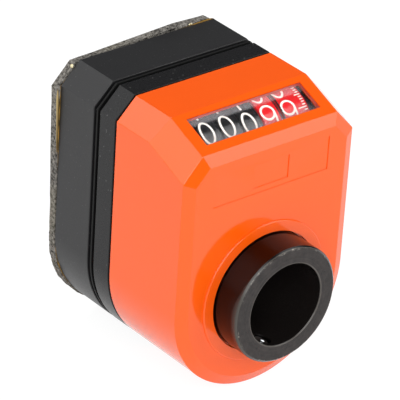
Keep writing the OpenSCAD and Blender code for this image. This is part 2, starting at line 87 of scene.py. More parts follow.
def linear(code):
    """Linear colour of an sRGB hex value."""
    parts = [int(code[i:i + 2], 16) / 255 for i in (1, 3, 5)]
    return tuple(c / 12.92 if c <= 0.04045 else ((c + 0.055) / 1.055) ** 2.4 for c in parts)


def paint(code):
    """Linear colour of an sRGB hex value, as a shader takes it."""
    return (*linear(code), 1)


def colour(name, text, code):
    """Colour that a user can change."""
    return FloatVectorProperty(name=name, description=text, default=linear(code), subtype="COLOR",
                               min=0, max=1)


def length(name, text, millimetres):
    """Length that a user can change."""
    return FloatProperty(name=name, description=text, default=millimetres * MM, unit="LENGTH", min=0,
                         precision=5)


class IndicatorSizes(bpy.types.PropertyGroup):
    """Sizes of what is added to the frame."""
    case_edge: length("Case edges", "Radius of the coloured case's moulded edges", 0.12)
    black_edge: length("Black edges", "Radius of the ring's and base's edges", 0.2)
    digit_height: length("Digit height", "Height of a numeral round the drum", 5.8)
    digit_stroke: length("Digit stroke", "Stroke width of the numerals", 0.52)
    ink: length("Ink", "Thickness of the printed numerals", 0.03)
    tick_width: length("Tick width", "Width of the graduation's lines", 0.28)
    ragged: length("Foam edge", "How far the foam's cut edge wanders", 0.16)
    squeeze: length("Adhesive edge", "How far the adhesive has crept out, about", 0.35)
    lens_edge: length("Lens edges", "Radius of the window's polished edges", 0.12)


class IndicatorColours(bpy.types.PropertyGroup):
    """Colours of the finishes."""
    case: colour("Case", "Moulded case", "#f65a0a")
    black: colour("Base", "Black moulded base", "#1b1b1c")
    drum_black: colour("Black drums", "Counting drums", "#141416")
    drum_red: colour("Red drums", "Drums of the last two digits", "#d11a1f")
    ink: colour("Ink", "Printed numerals", "#f6f3ea")
    ring: colour("Ring", "Black ring between case and base", "#161617")
    oxide: colour("Hub", "Black oxide on the hub", "#151211")
    foam: colour("Foam", "Gasket behind the base", "#66635e")
    adhesive: colour("Adhesive", "Film under the gasket", "#a07c3c")
    acetal: colour("Gears", "Natural acetal", "#e6e0cf")
    bond: colour("Lens bond", "Ends of the window", "#ad2c18")


class IndicatorStage(bpy.types.PropertyGroup):
    """Camera and light."""
    azimuth: FloatProperty(name="Azimuth", description="Camera's turn round the object", subtype="ANGLE",
                           default=math.radians(-40.809))
    elevation: FloatProperty(name="Elevation", description="Camera's height angle", subtype="ANGLE",
                             default=math.radians(29.400))
    roll: FloatProperty(name="Roll", description="Camera's turn about its own axis", subtype="ANGLE",
                        default=math.radians(3.721))
    distance: length("Distance", "Camera's distance from its aim", 720.24)
    lens: FloatProperty(name="Lens", description="Focal length in millimetres", default=285.418)
    aim: FloatVectorProperty(name="Aim", description="Point that the camera looks at", subtype="XYZ",
                             unit="LENGTH", default=(0.005503, -0.015147, 0.006971))
    light: FloatProperty(name="Light", description="Factor on all lamps", default=1.0, min=0)


def sizes():
    """The sizes that a user can change."""
    return bpy.context.scene.indicator_sizes


def tint(name):
    """One of the colours that a user can change, as a shader takes it."""
    return (*getattr(bpy.context.scene.indicator_colours, name), 1)


# Materials


def add(tree, kind, inputs=None, **settings):
    """Adds one shader node with its settings, values and links."""
    made = tree.nodes.new("ShaderNode" + kind)
    for key, value in settings.items():
        setattr(made, key, value)
    for key, value in (inputs or {}).items():
        if isinstance(value, bpy.types.NodeSocket):
            tree.links.new(value, made.inputs[key])
        else:
            made.inputs[key].default_value = value
    return made


def grain(millimetres):
    """Texture scale of a pattern with features of that size."""
    return 1 / (millimetres * MM)


def bare_tree(owner):
    """Emptied node tree of a material or a world."""
    owner.use_nodes = True
    owner.node_tree.nodes.clear()
    return owner.node_tree


def start(name, **values):
    """New material: its tree, its shader with plain values set, and its object coordinates."""
    made = bpy.data.materials.new(name)
    tree = bare_tree(made)
    shader = add(tree, "BsdfPrincipled", values)
    add(tree, "OutputMaterial", {"Surface": shader.outputs[0]})
    return made, tree, shader, add(tree, "TexCoord").outputs["Object"]


def plus(tree, shader, inputs):
    """Links patterns to a shader's sockets."""
    for key, socket in inputs.items():
        tree.links.new(socket, shader.inputs[key])


def shade(c, factor):
    """A colour made darker or paler by a factor."""
    return (*(min(1, x * factor) for x in c[:3]), 1)


def moulded(name, base, roughness, rough_spread, mottle, mottle_mm, grain_mm, depth_mm, specular=0.5):
    """Injection-moulded plastic: faint mottling of the colour, uneven gloss, and a fine grain in relief."""
    made, tree, shader, place = start(name, **{"IOR": 1.5, "Specular IOR Level": specular})
    cloud = add(tree, "TexNoise", {"Vector": place, "Scale": grain(mottle_mm), "Detail": 3.0})
    mix = add(tree, "Mix", {0: cloud.outputs[0], 6: shade(base, 1 - mottle), 7: shade(base, 1 + mottle)},
              data_type="RGBA")
    fine = add(tree, "TexNoise", {"Vector": place, "Scale": grain(grain_mm), "Detail": 2.0})
    gloss = add(tree, "MapRange", {"Value": fine.outputs[0], "From Min": 0.3, "From Max": 0.7,
                                   "To Min": roughness - rough_spread, "To Max": roughness + rough_spread})
    relief = add(tree, "Bump", {"Strength": 1.0, "Distance": depth_mm * MM, "Height": fine.outputs[0]})
    plus(tree, shader, {"Base Color": mix.outputs[2], "Roughness": gloss.outputs[0],
                        "Normal": relief.outputs[0]})
    return made


def specks(made, apart_mm, code):
    """Scatters small pale specks over a moulded material."""
    tree = made.node_tree
    shader = tree.nodes["Principled BSDF"]
    place = tree.nodes["Texture Coordinate"].outputs["Object"]
    body = shader.inputs["Base Color"].links[0].from_socket
    spots = add(tree, "TexVoronoi", {"Vector": place, "Scale": grain(apart_mm)}, feature="F1")
    speck = add(tree, "MapRange", {"Value": spots.outputs["Distance"], "From Min": 0.05, "From Max": 0.13,
                                   "To Min": 0.35, "To Max": 0.0})
    mix = add(tree, "Mix", {0: speck.outputs[0], 6: body, 7: paint(code)}, data_type="RGBA")
    plus(tree, shader, {"Base Color": mix.outputs[2]})


def case_abs():
    # Smooth moulded ABS: an even strong colour under a clear gloss, in which the floor and the hub show.
    return moulded("orange_abs_moulded", tint("case"), roughness=0.085, rough_spread=0.015, mottle=0.03,
                   mottle_mm=14, grain_mm=0.5, depth_mm=0.001)


def housing_polyamide():
    # Glass-filled polyamide: matte black, with a fine grain and a few pale fibres at the surface.
    made = moulded("black_polyamide_moulded", tint("black"), roughness=0.42, rough_spread=0.04, mottle=0.10,
                   mottle_mm=6, grain_mm=0.35, depth_mm=0.010, specular=0.45)
    specks(made, apart_mm=1.3, code="#6c6c6c")
    return made


def ring_abs():
    # Black moulded ABS: smoother and deeper than the base, so it mirrors the dark overhead; a little dust.
    made = moulded("black_abs_moulded", tint("ring"), roughness=0.3, rough_spread=0.05, mottle=0.12,
                   mottle_mm=5, grain_mm=0.4, depth_mm=0.006, specular=0.25)
    specks(made, apart_mm=1.7, code="#8a8a88")
    return made


def drum_abs(name, base):
    # Polished moulded ABS: deep even colour with sharp bands of reflected light.
    return moulded(name, base, roughness=0.09, rough_spread=0.02, mottle=0.03, mottle_mm=5, grain_mm=0.4,
                   depth_mm=0.0006)


def frame_polyamide():
    # Moulded polyamide inside the counter: black and dull.
    return moulded("black_polyamide_inner", paint("#161617"), roughness=0.55, rough_spread=0.05, mottle=0.08,
                   mottle_mm=4, grain_mm=0.4, depth_mm=0.008)


def gear_acetal():
    # Natural moulded acetal: milky off-white with a waxy sheen, and a little light goes under its skin.
    made = moulded("acetal_natural", tint("acetal"), roughness=0.38, rough_spread=0.05, mottle=0.04,
                   mottle_mm=2.5, grain_mm=0.3, depth_mm=0.004)
    shader = made.node_tree.nodes["Principled BSDF"]
    shader.inputs["Subsurface Weight"].default_value = 0.15
    shader.inputs["Subsurface Radius"].default_value = (0.8 * MM, 0.7 * MM, 0.5 * MM)
    return made


def soft_rubber(name, code, roughness):
    # Nitrile or similar rubber: hardly any mirror, a dusty bloom that shifts the grey a little.
    return moulded(name, paint(code), roughness, rough_spread=0.06, mottle=0.12, mottle_mm=3, grain_mm=0.35,
                   depth_mm=0.01, specular=0.18)


def turned_steel():
    # Ground bright steel: a grey mirror that is broken by fine tool marks, which run round the pin.
    made, tree, shader, place = start("steel_ground", **{"Metallic": 1.0})
    stretch = add(tree, "Mapping", {"Vector": place, "Scale": (0.15, 1.0, 0.15)})
    marks = add(tree, "TexNoise", {"Vector": stretch.outputs[0], "Scale": grain(0.3), "Detail": 4.0})
    mix = add(tree, "Mix", {0: marks.outputs[0], 6: paint("#a3a5a8"), 7: paint("#d3d5d8")},
              data_type="RGBA")
    gloss = add(tree, "MapRange", {"Value": marks.outputs[0], "To Min": 0.18, "To Max": 0.42})
    relief = add(tree, "Bump", {"Strength": 0.6, "Distance": 0.004 * MM, "Height": marks.outputs[0]})
    plus(tree, shader, {"Base Color": mix.outputs[2], "Roughness": gloss.outputs[0],
                        "Normal": relief.outputs[0]})
    return made


def oxide_steel(name, front):
    # Black oxide on turned steel: the side is deep black, mirrors what is next to it and has a rubbed hem
    # beside the rim that narrows upward. The bore is painted paler than the side, as painted light for the
    # light that falls into it. The faced end is rubbed paler in blotches and turning marks, and its edges
    # are bare in places; a painted highlight lines the bore's chamfered mouth. The faced end lies at
    # y = front.
    made, tree, shader, place = start(name, **{"IOR": 1.6, "Specular IOR Level": 0.22})
    axes = add(tree, "SeparateXYZ", {"Vector": place})
    flat = add(tree, "CombineXYZ", {"X": axes.outputs["X"], "Y": axes.outputs["Z"]})
    radius = add(tree, "VectorMath", {0: flat.outputs[0]}, operation="LENGTH").outputs["Value"]
    off_end = add(tree, "Math", {0: axes.outputs["Y"], 1: front}, operation="SUBTRACT")
    cloud = add(tree, "TexNoise", {"Vector": place, "Scale": grain(2.2), "Detail": 6.0, "Roughness": 0.65})
    base, rubbed_steel = tint("oxide"), paint("#a8a299")
    turns = add(tree, "CombineXYZ", {"X": radius})
    marks = add(tree, "TexNoise", {"Vector": turns.outputs[0], "Scale": grain(0.3), "Detail": 3.0})
    blend = add(tree, "Math", {0: cloud.outputs[0], 1: marks.outputs[0]}, operation="MULTIPLY")
    blotch = add(tree, "MapRange", {"Value": blend.outputs[0], "From Min": 0.14, "From Max": 0.38})
    faced = add(tree, "Mix", {0: blotch.outputs[0], 6: shade(base, 1.5), 7: shade(base, 4.8)},
                data_type="RGBA")
    side = add(tree, "MapRange", {"Value": off_end.outputs[0], "From Min": 0.02 * MM,
                                  "From Max": 0.15 * MM})
    outside = add(tree, "MapRange", {"Value": radius, "From Min": BORE_EDGE,
                                     "From Max": BORE_EDGE + 0.4 * MM})
    # Painted light: the bore is paler than the outer side, for the light that falls into it.
    flank_and_lit_bore = add(tree, "Mix", {0: outside.outputs[0], 6: shade(base, 1.2), 7: shade(base, 0.2)},
                data_type="RGBA")
    hem = add(tree, "MapRange", {"Value": axes.outputs["Z"], "From Min": 3 * MM, "From Max": 12 * MM,
                                 "To Min": 2.0 * MM, "To Max": 0.3 * MM})
    scuff = add(tree, "MapRange", {"Value": off_end.outputs[0], "From Min": 0.2 * MM,
                                   "From Max": hem.outputs[0], "To Min": 0.16, "To Max": 0.0})
    scuff = add(tree, "Math", {0: scuff.outputs[0], 1: outside.outputs[0]}, operation="MULTIPLY")
    flank_and_lit_bore = add(tree, "Mix", {0: scuff.outputs[0], 6: flank_and_lit_bore.outputs[2], 7: rubbed_steel},
                data_type="RGBA")
    body = add(tree, "Mix", {0: side.outputs[0], 6: faced.outputs[2], 7: flank_and_lit_bore.outputs[2]},
               data_type="RGBA")
    off_rim = add(tree, "Math", {0: radius, 1: HUB_EDGE}, operation="SUBTRACT")
    near_rim = add(tree, "Math", {0: off_rim.outputs[0]}, operation="ABSOLUTE")
    reach = add(tree, "Math", {0: near_rim.outputs[0], 1: off_end.outputs[0]}, operation="MAXIMUM")
    edge = add(tree, "MapRange", {"Value": reach.outputs[0], "From Min": 0.12 * MM, "From Max": 0.32 * MM,
                                  "To Min": 1.0, "To Max": 0.0})
    chips = add(tree, "TexNoise", {"Vector": place, "Scale": grain(0.4), "Detail": 4.0, "Roughness": 0.7})
    chip = add(tree, "MapRange", {"Value": chips.outputs[0], "From Min": 0.55, "From Max": 0.65})
    rub = add(tree, "TexNoise", {"Vector": place, "Scale": grain(7), "Detail": 1.0})
    rubbed = add(tree, "MapRange", {"Value": rub.outputs[0], "From Min": 0.40, "From Max": 0.52})
    worn = add(tree, "Math", {0: edge.outputs[0], 1: chip.outputs[0]}, operation="MULTIPLY")
    worn = add(tree, "Math", {0: worn.outputs[0], 1: rubbed.outputs[0]}, operation="MULTIPLY")
    bare = add(tree, "Mix", {0: worn.outputs[0], 6: body.outputs[2], 7: rubbed_steel}, data_type="RGBA")
    # Painted highlight: a pale line round the bore's chamfered mouth.
    off_bore = add(tree, "Math", {0: radius, 1: BORE_EDGE}, operation="SUBTRACT")
    near_bore = add(tree, "Math", {0: off_bore.outputs[0]}, operation="ABSOLUTE")
    mouth = add(tree, "Math", {0: near_bore.outputs[0], 1: off_end.outputs[0]}, operation="MAXIMUM")
    lip = add(tree, "MapRange", {"Value": mouth.outputs[0], "From Min": 0.06 * MM, "From Max": 0.22 * MM,
                                 "To Min": 0.4, "To Max": 0.0})
    skin = add(tree, "Mix", {0: lip.outputs[0], 6: bare.outputs[2], 7: paint("#7a756e")},
               data_type="RGBA")
    gloss = add(tree, "MapRange", {"Value": cloud.outputs[0], "From Min": 0.3, "From Max": 0.7,
                                   "To Min": 0.20, "To Max": 0.27})
    pits = add(tree, "TexVoronoi", {"Vector": place, "Scale": grain(0.55)}, feature="F1")
    relief = add(tree, "Bump", {"Strength": 0.4, "Distance": 0.02 * MM, "Height": pits.outputs["Distance"]})
    plus(tree, shader, {"Base Color": skin.outputs[2], "Metallic": worn.outputs[0],
                        "Roughness": gloss.outputs[0], "Normal": relief.outputs[0]})
    return made


def open_foam():
    # Open-cell foam: pale cell walls round dark pores, peppered, no gloss. The cells are drawn coarse so
    # that they show.
    made, tree, shader, place = start("foam_open_cell", **{"Roughness": 0.95, "IOR": 1.45,
                                                           "Specular IOR Level": 0.2})
    cells = add(tree, "TexVoronoi", {"Vector": place, "Scale": grain(0.6)}, feature="F1")
    dust = add(tree, "TexNoise", {"Vector": place, "Scale": grain(0.7), "Detail": 3.0, "Roughness": 0.7})
    pore = add(tree, "MapRange", {"Value": dust.outputs[0], "From Min": 0.36, "From Max": 0.64})
    base = tint("foam")
    body = add(tree, "Mix", {0: pore.outputs[0], 6: shade(base, 0.24), 7: shade(base, 2.0)},
               data_type="RGBA")
    stain = add(tree, "TexNoise", {"Vector": place, "Scale": grain(9), "Detail": 2.0})
    yellow = add(tree, "MapRange", {"Value": stain.outputs[0], "From Min": 0.5, "From Max": 0.66,
                                    "To Min": 0.0, "To Max": 0.15})
    mix = add(tree, "Mix", {0: yellow.outputs[0], 6: body.outputs[2], 7: paint("#8a8266")},
              data_type="RGBA")
    relief = add(tree, "Bump", {"Strength": 1.0, "Distance": 0.15 * MM, "Height": cells.outputs["Distance"]})
    plus(tree, shader, {"Base Color": mix.outputs[2], "Normal": relief.outputs[0]})
    return made


def amber_adhesive():
    # Aged acrylic adhesive: amber and shiny where it has squeezed out, brown where dust stuck.
    made, tree, shader, place = start("acrylic_adhesive_aged", **{"Roughness": 0.28, "IOR": 1.48})
    dust = add(tree, "TexNoise", {"Vector": place, "Scale": grain(3), "Detail": 5.0})
    clean = add(tree, "MapRange", {"Value": dust.outputs[0], "From Min": 0.40, "From Max": 0.58})
    mix = add(tree, "Mix", {0: clean.outputs[0], 6: paint("#4a3c22"), 7: tint("adhesive")},
              data_type="RGBA")
    plus(tree, shader, {"Base Color": mix.outputs[2]})
    return made


def pale_adhesive():
    # Thick acrylic adhesive: cream where it stands in lumps, glossy, amber in its thin places.
    made, tree, shader, place = start("acrylic_adhesive_lumps", **{"Roughness": 0.3, "IOR": 1.48})
    depth = add(tree, "TexNoise", {"Vector": place, "Scale": grain(0.8), "Detail": 3.0})
    thick = add(tree, "MapRange", {"Value": depth.outputs[0], "From Min": 0.36, "From Max": 0.52})
    mix = add(tree, "Mix", {0: thick.outputs[0], 6: tint("adhesive"), 7: paint("#f0e8c0")},
              data_type="RGBA")
    plus(tree, shader, {"Base Color": mix.outputs[2]})
    return made


# Where the smear turns pale: across it, away from the painted shade beside the base, and along it, upward
SMEAR_ACROSS = (-24.25 * MM, -24.75 * MM)
SMEAR_ALONG = (20 * MM, 36 * MM)


def smeared_adhesive():
    # Old acrylic adhesive on the foam's ledge: pale tan, turned dark amber beside the base by painted
    # shade, and darker toward its lower end.
    made, tree, shader, place = start("acrylic_adhesive_smear", **{"Roughness": 0.5, "IOR": 1.48})
    axes = add(tree, "SeparateXYZ", {"Vector": place})
    away_from_shade = add(tree, "MapRange", {"Value": axes.outputs["X"], "From Min": SMEAR_ACROSS[0],
                                   "From Max": SMEAR_ACROSS[1]})
    rise = add(tree, "MapRange", {"Value": axes.outputs["Z"], "From Min": SMEAR_ALONG[0],
                                  "From Max": SMEAR_ALONG[1], "To Min": 0.4, "To Max": 1.0})
    pale = add(tree, "Math", {0: away_from_shade.outputs[0], 1: rise.outputs[0]}, operation="MULTIPLY")
    # Painted shade: dark amber beside the base, pale tan away from it.
    mix = add(tree, "Mix", {0: pale.outputs[0], 6: paint("#5c471c"), 7: paint("#b8a06a")},
              data_type="RGBA")
    plus(tree, shader, {"Base Color": mix.outputs[2]})
    return made


def printed_ink():
    # Pad-printed ink: flat warm white, slightly uneven where it is thin.
    return moulded("ink_pad_printed", tint("ink"), roughness=0.42, rough_spread=0.05, mottle=0.03,
                   mottle_mm=1.2, grain_mm=0.25, depth_mm=0.002)


# Veil of stray light on the window: its strength at the upper and the lower edge, the shares of the slope
# between which the upper part ends, the share at which the lower part begins, and how near the right end
# it fades
VEIL_UPPER, VEIL_LOWER = 0.09, 0.08
VEIL_ENDS = (0.26, 0.31)
VEIL_BEGINS = 0.62
VEIL_FADES = 3 * MM


def clear_lens():
    # Polished clear PMMA: colourless, with sharp reflections; lamps shine through it onto the drums. A
    # pale veil of stray light lies along its upper edge and rises toward the lower one.
    made, tree, shader, place = start("pmma_clear", **{"Base Color": paint("#ffffff"), "Roughness": 0.02,
                                                       "IOR": 1.49, "Transmission Weight": 1.0})
    dust = add(tree, "TexNoise", {"Vector": place, "Scale": grain(1.5), "Detail": 4.0})
    haze = add(tree, "MapRange", {"Value": dust.outputs[0], "From Min": 0.5, "From Max": 0.75,
                                  "To Min": 0.01, "To Max": 0.05})
    plus(tree, shader, {"Roughness": haze.outputs[0]})
    rays = add(tree, "LightPath")
    through = add(tree, "BsdfTransparent")
    out = tree.nodes["Material Output"]
    low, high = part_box("window_lens")
    slope = Vector((0, low.y - high.y, low.z - high.z))
    down = add(tree, "VectorMath", {0: place, 1: slope.normalized()}, operation="DOT_PRODUCT")
    top = high.dot(slope.normalized())
    ends = [top + share * slope.length for share in VEIL_ENDS]
    upper = add(tree, "MapRange", {"Value": down.outputs["Value"], "From Min": ends[0], "From Max": ends[1],
                                   "To Min": VEIL_UPPER, "To Max": 0.0})
    lower = add(tree, "MapRange", {"Value": down.outputs["Value"],
                                   "From Min": top + VEIL_BEGINS * slope.length,
                                   "From Max": top + slope.length, "To Min": 0.0, "To Max": VEIL_LOWER})
    veil = add(tree, "Math", {0: upper.outputs[0], 1: lower.outputs[0]}, operation="ADD")
    across = add(tree, "SeparateXYZ", {"Vector": place})
    fade = add(tree, "MapRange", {"Value": across.outputs["X"], "From Min": high.x - VEIL_FADES,
                                  "From Max": high.x, "To Min": 1.0, "To Max": 0.15})
    veil = add(tree, "Math", {0: veil.outputs[0], 1: fade.outputs[0]}, operation="MULTIPLY")
    # Painted light: a pale diffuse veil mixed over the glass stands for stray light.
    stray_light = add(tree, "BsdfDiffuse", {"Color": paint("#edeff3")})
    with_stray_light = add(tree, "MixShader", {0: veil.outputs[0], 1: shader.outputs[0], 2: stray_light.outputs[0]})
    both = add(tree, "MixShader", {0: rays.outputs["Is Shadow Ray"], 1: with_stray_light.outputs[0],
                                   2: through.outputs[0]})
    tree.links.new(both.outputs[0], out.inputs["Surface"])
    return made


def lens_bond():
    # Solvent bond at the window's cut ends: the case's colour seen dark through the joint.
    return moulded("pmma_bonded_end", tint("bond"), roughness=0.35, rough_spread=0.05, mottle=0.15,
                   mottle_mm=1.5, grain_mm=0.4, depth_mm=0.004)


def finish_node(name, material):
    """Gives a CAD node its material."""
    slots = NODES[name].data.materials
    slots.clear()
    slots.append(material)


# Modelling


def new_mesh(name, bm, material):
    """Mesh of a finished bmesh, with its material."""
    mesh = bpy.data.meshes.new(name)
    bm.to_mesh(mesh)
    bm.free()
    mesh.materials.append(material)
    return mesh


def new_object(name, data):
    """Object in the scene."""
    made = bpy.data.objects.new(name, data)
    bpy.context.scene.collection.objects.link(made)
    return made


def piece(name, bm, body, material, smooth=None):
    """Makes an object of a finished bmesh that rides on a body, with edges past an angle left sharp."""
    mesh = new_mesh(name, bm, material)
    if smooth is not None:
        mesh.polygons.foreach_set("use_smooth", [True] * len(mesh.polygons))
        mesh.set_sharp_from_angle(angle=smooth)
    made = new_object(name, mesh)
    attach(made, body)
    return made


# Points of a node's mesh that are nearer than this are one, and faces that turn by less are one face
SAME_POINT = 0.002 * MM
SAME_FACE = math.radians(0.3)
# Outer edges that turn by more than SHARP are rounded, and on the black ring and base only those past CRISP,
# so that the corners of their outline stay crisp
SHARP = math.radians(12)
CRISP = math.radians(50)


def copy_of(node):
    """Merged copy of a node's mesh, with its flat faces whole."""
    bm = bmesh.new()
    bm.from_mesh(NODES[node].data)
    bmesh.ops.remove_doubles(bm, verts=bm.verts, dist=SAME_POINT)
    bmesh.ops.dissolve_limit(bm, angle_limit=SAME_FACE, use_dissolve_boundaries=False, verts=bm.verts,
                             edges=bm.edges)
    return bm


def outer_edges(bm, least_angle):
    """Convex edges between two faces that look out into the open."""
    tree = BVHTree.FromBMesh(bm)
    lift = 0.02 * MM

    def in_open(face):
        spot = face.calc_center_median() + face.normal * lift
        return tree.ray_cast(spot, face.normal)[0] is None

    seen = {face.index: in_open(face) for face in bm.faces}
    return [edge for edge in bm.edges
            if len(edge.link_faces) == 2 and edge.is_convex and edge.calc_face_angle() > least_angle
            and all(seen[face.index] for face in edge.link_faces)]


def eased(node, width, segments, least_angle=SHARP):
    """Copy of a node with its outer edges rounded."""
    bm = copy_of(node)
    bm.faces.index_update()
    bm.normal_update()
    edges = outer_edges(bm, least_angle)
    bmesh.ops.bevel(bm, geom=edges, offset=width, offset_type="OFFSET", affect="EDGES", segments=segments,
                    profile=0.5, material=-1, clamp_overlap=True)
    return bm


def even_normals(made):
    """Lets the large flat faces keep flat shading beside their rounded edges."""
    weighted = made.modifiers.new("even_normals", "WEIGHTED_NORMAL")
    weighted.keep_sharp = True
    weighted.weight = 100


def rim_faces(bm):
    """Faces round the outer edge of a flat rear layer."""
    bm.normal_update()
    return [face for face in bm.faces
            if abs(face.normal.y) < 0.5 and face.normal.dot(face.calc_center_median()) > 0]


def torn_edge(node, push):
    """Copy of a flat rear layer whose outer edge is cut up finely and moved outward by push(place)."""
    bm = copy_of(node)
    for edge in dict.fromkeys(edge for face in rim_faces(bm) for edge in face.edges):
        cuts = math.ceil(edge.calc_length() / EDGE_STEP) - 1
        if cuts > 0:
            bmesh.ops.subdivide_edges(bm, edges=[edge], cuts=cuts)
    outward = {}
    for face in rim_faces(bm):
        for v in face.verts:
            outward.setdefault(v, Vector()).xyz += face.normal
    for v, way in outward.items():
        v.co += way.normalized() * push(v.co)
    return bm


class Operator(bpy.types.Operator):
    """Base of the operators here."""
    bl_options = {"REGISTER"}


class INDICATOR_OT_case(Operator):
    """Coloured case with rounded edges, in place of its plain solid"""
    bl_idname = "indicator.case"
    bl_label = "Case"

    def execute(self, context):
        bm = eased("front_case", sizes().case_edge, segments=3)
        made = piece("case_shell", bm, "housing", case_abs(), smooth=math.radians(35))
        even_normals(made)
        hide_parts("front_case")
        return {"FINISHED"}


class INDICATOR_OT_housing(Operator):
    """Black ring and base with rounded edges, and the sealing lip between them"""
    bl_idname = "indicator.housing"
    bl_label = "Ring and base"

    def execute(self, context):
        for node, name, finish in (("middle_ring", "ring_shell", ring_abs()),
                                   ("rear_base", "base_shell", housing_polyamide())):
            bm = eased(node, sizes().black_edge, segments=6, least_angle=CRISP)
            made = piece(name, bm, "housing", finish, smooth=math.radians(20))
            even_normals(made)
            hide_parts(node)
        finish_node("joint_seal", soft_rubber("lip_elastomer_black", "#101010", roughness=0.6))
        return {"FINISHED"}


# Corner bevel of the housing's outline
CORNER = 5 * MM
# Turn of the hand-laid foam about the spindle, which the smears share
FOAM_TURN = math.radians(-1.5)
# Step at which the foam's and the film's edges are cut up, and the sizes of the waves in them
EDGE_STEP = 0.5 * MM
FOAM_WAVE, FOAM_RIPPLE = 2.2 * MM, 0.7 * MM
FILM_WAVE = 2.5 * MM
# Stretches of edge in millimetres: the axis they run along, their middle and spread on it, and the other
# axis with the place past which they lie
TUFT = ("x", 9, 0.8, "z", 40)
HANGING = ("z", -12, 9, "x", -6)
CREPT_LEFT = ("z", 29, 9, "x", -22)
CREPT_TOP = ("x", 17, 4, "z", 42)
CREPT_UNDER = ("z", -10, 7, "x", -12)
# How far the foam stands out on its stretches, and shares of its raggedness: its ripple's, and how far it
# lies back on the whole
TUFT_HEIGHT, HANGING_DEPTH = 0.45 * MM, 0.7 * MM
RIPPLE, TORN_BACK = 0.6, 0.4
# Shares of the film's squeeze: how far its edge lies inside the base's outline, how far it comes out from
# there where it has crept, and how uneven that is; and what the stretch at the bottom has of it
FILM_BACK, FILM_OUT, FILM_UNEVEN = 1.4, 2.2, 0.5
UNDER_SHARE = 0.85
# Lumps and smears of adhesive: middle and half sizes in millimetres
LUMPS = (((-20.85, 0.45, 41.75), (0.5, 0.4, 0.42)), ((12.6, 0.3, 43.15), (0.5, 0.25, 0.2)))
SMEARS = (((-23.62, 0.17, 29.2), (0.34, 0.14, 8.2)), ((-23.66, 0.17, 33.8), (0.34, 0.15, 3.6)))
# Size of the bumps on them
BLOB_BUMP = 0.5 * MM


def on_stretch(place, along, middle, spread, across, limit):
    """Falls from 1 at the middle of a stretch of edge to 0 far from it, and is 0 on the other sides."""
    side = math.copysign(1, limit)
    past = side * getattr(place, across) > side * limit * MM
    return past * math.exp(-((getattr(place, along) - middle * MM) / (spread * MM)) ** 2)


class INDICATOR_OT_gasket(Operator):
    """Foam gasket behind the base, its adhesive film, and the adhesive that has come out"""
    bl_idname = "indicator.gasket"
    bl_label = "Gasket"

    def execute(self, context):
        ragged, squeeze = sizes().ragged, sizes().squeeze
        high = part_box("rear_base")[1]
        flat = high.x + high.z - CORNER

        def beyond(place):
            """How far a point lies outside the base's outline."""
            if place.z < 0:
                return math.hypot(place.x, place.z) - high.x
            wide = abs(place.x)
            return max(wide - high.x, place.z - high.z, (wide + place.z - flat) / math.sqrt(2))

        def tear(place):
            """How far the foam's edge moves out at a point: uneven, and a little back on the whole."""
            out = TUFT_HEIGHT * on_stretch(place, *TUFT) + HANGING_DEPTH * on_stretch(place, *HANGING)
            loose = noise.noise(place / FOAM_WAVE) + RIPPLE * noise.noise(place / FOAM_RIPPLE)
            return out + ragged * (loose - TORN_BACK)

        def creep(place):
            """How far the film's edge moves: out past the base where it has crept, and back elsewhere."""
            crept = max(on_stretch(place, *CREPT_LEFT), on_stretch(place, *CREPT_TOP),
                        UNDER_SHARE * on_stretch(place, *CREPT_UNDER))
            loose = FILM_UNEVEN * noise.noise(Vector((place.x, 0, place.z)) / FILM_WAVE)
            return squeeze * (crept * (FILM_OUT + loose) - FILM_BACK) - beyond(place)

        for node, name, finish, slot, push in (
                ("foam_gasket", "foam_pad", open_foam(), "foam_grey", tear),
                ("adhesive_film", "adhesive_skin", amber_adhesive(), "adhesive_amber", creep)):
            made = piece(name, torn_edge(node, push), "housing", finish)
            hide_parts(node)
        self.blobs("adhesive_lumps", LUMPS, pale_adhesive(), uneven=0.5)
        self.blobs("adhesive_smear", SMEARS, smeared_adhesive(), uneven=0.2, turn=FOAM_TURN)
        return {"FINISHED"}

    def blobs(self, name, shapes, finish, uneven, turn=0):
        """Uneven drops of adhesive as one piece, turned together about the spindle."""
        bm = bmesh.new()
        for middle, half_sizes in shapes:
            matrix = Matrix.Rotation(turn, 4, "Y") @ Matrix.Translation(Vector(middle) * MM)
            matrix = matrix @ Matrix.Diagonal((*(Vector(half_sizes) * MM), 1))
            fresh = bmesh.ops.create_icosphere(bm, subdivisions=3, radius=1, matrix=matrix)["verts"]
            for v in fresh:
                v.co += (v.co - matrix.translation) * uneven * noise.noise(v.co / BLOB_BUMP)
        piece(name, bm, "housing", finish, smooth=math.radians(60))


# Burr in the bore: its place, the way it faces, its turn and stretch in that plane, its radii and its height
BURR_PLACE = Vector((-3.95, -50.2, -9.15)) * MM
BURR_FACING = Vector((0.03, -0.78, 0.625))
BURR_TURN = math.radians(-40)
BURR_STRETCH = (1.8, 0.6, 1)
BURR_RADII = (0.3 * MM, 0.27 * MM)
BURR_HEIGHT = 0.1 * MM


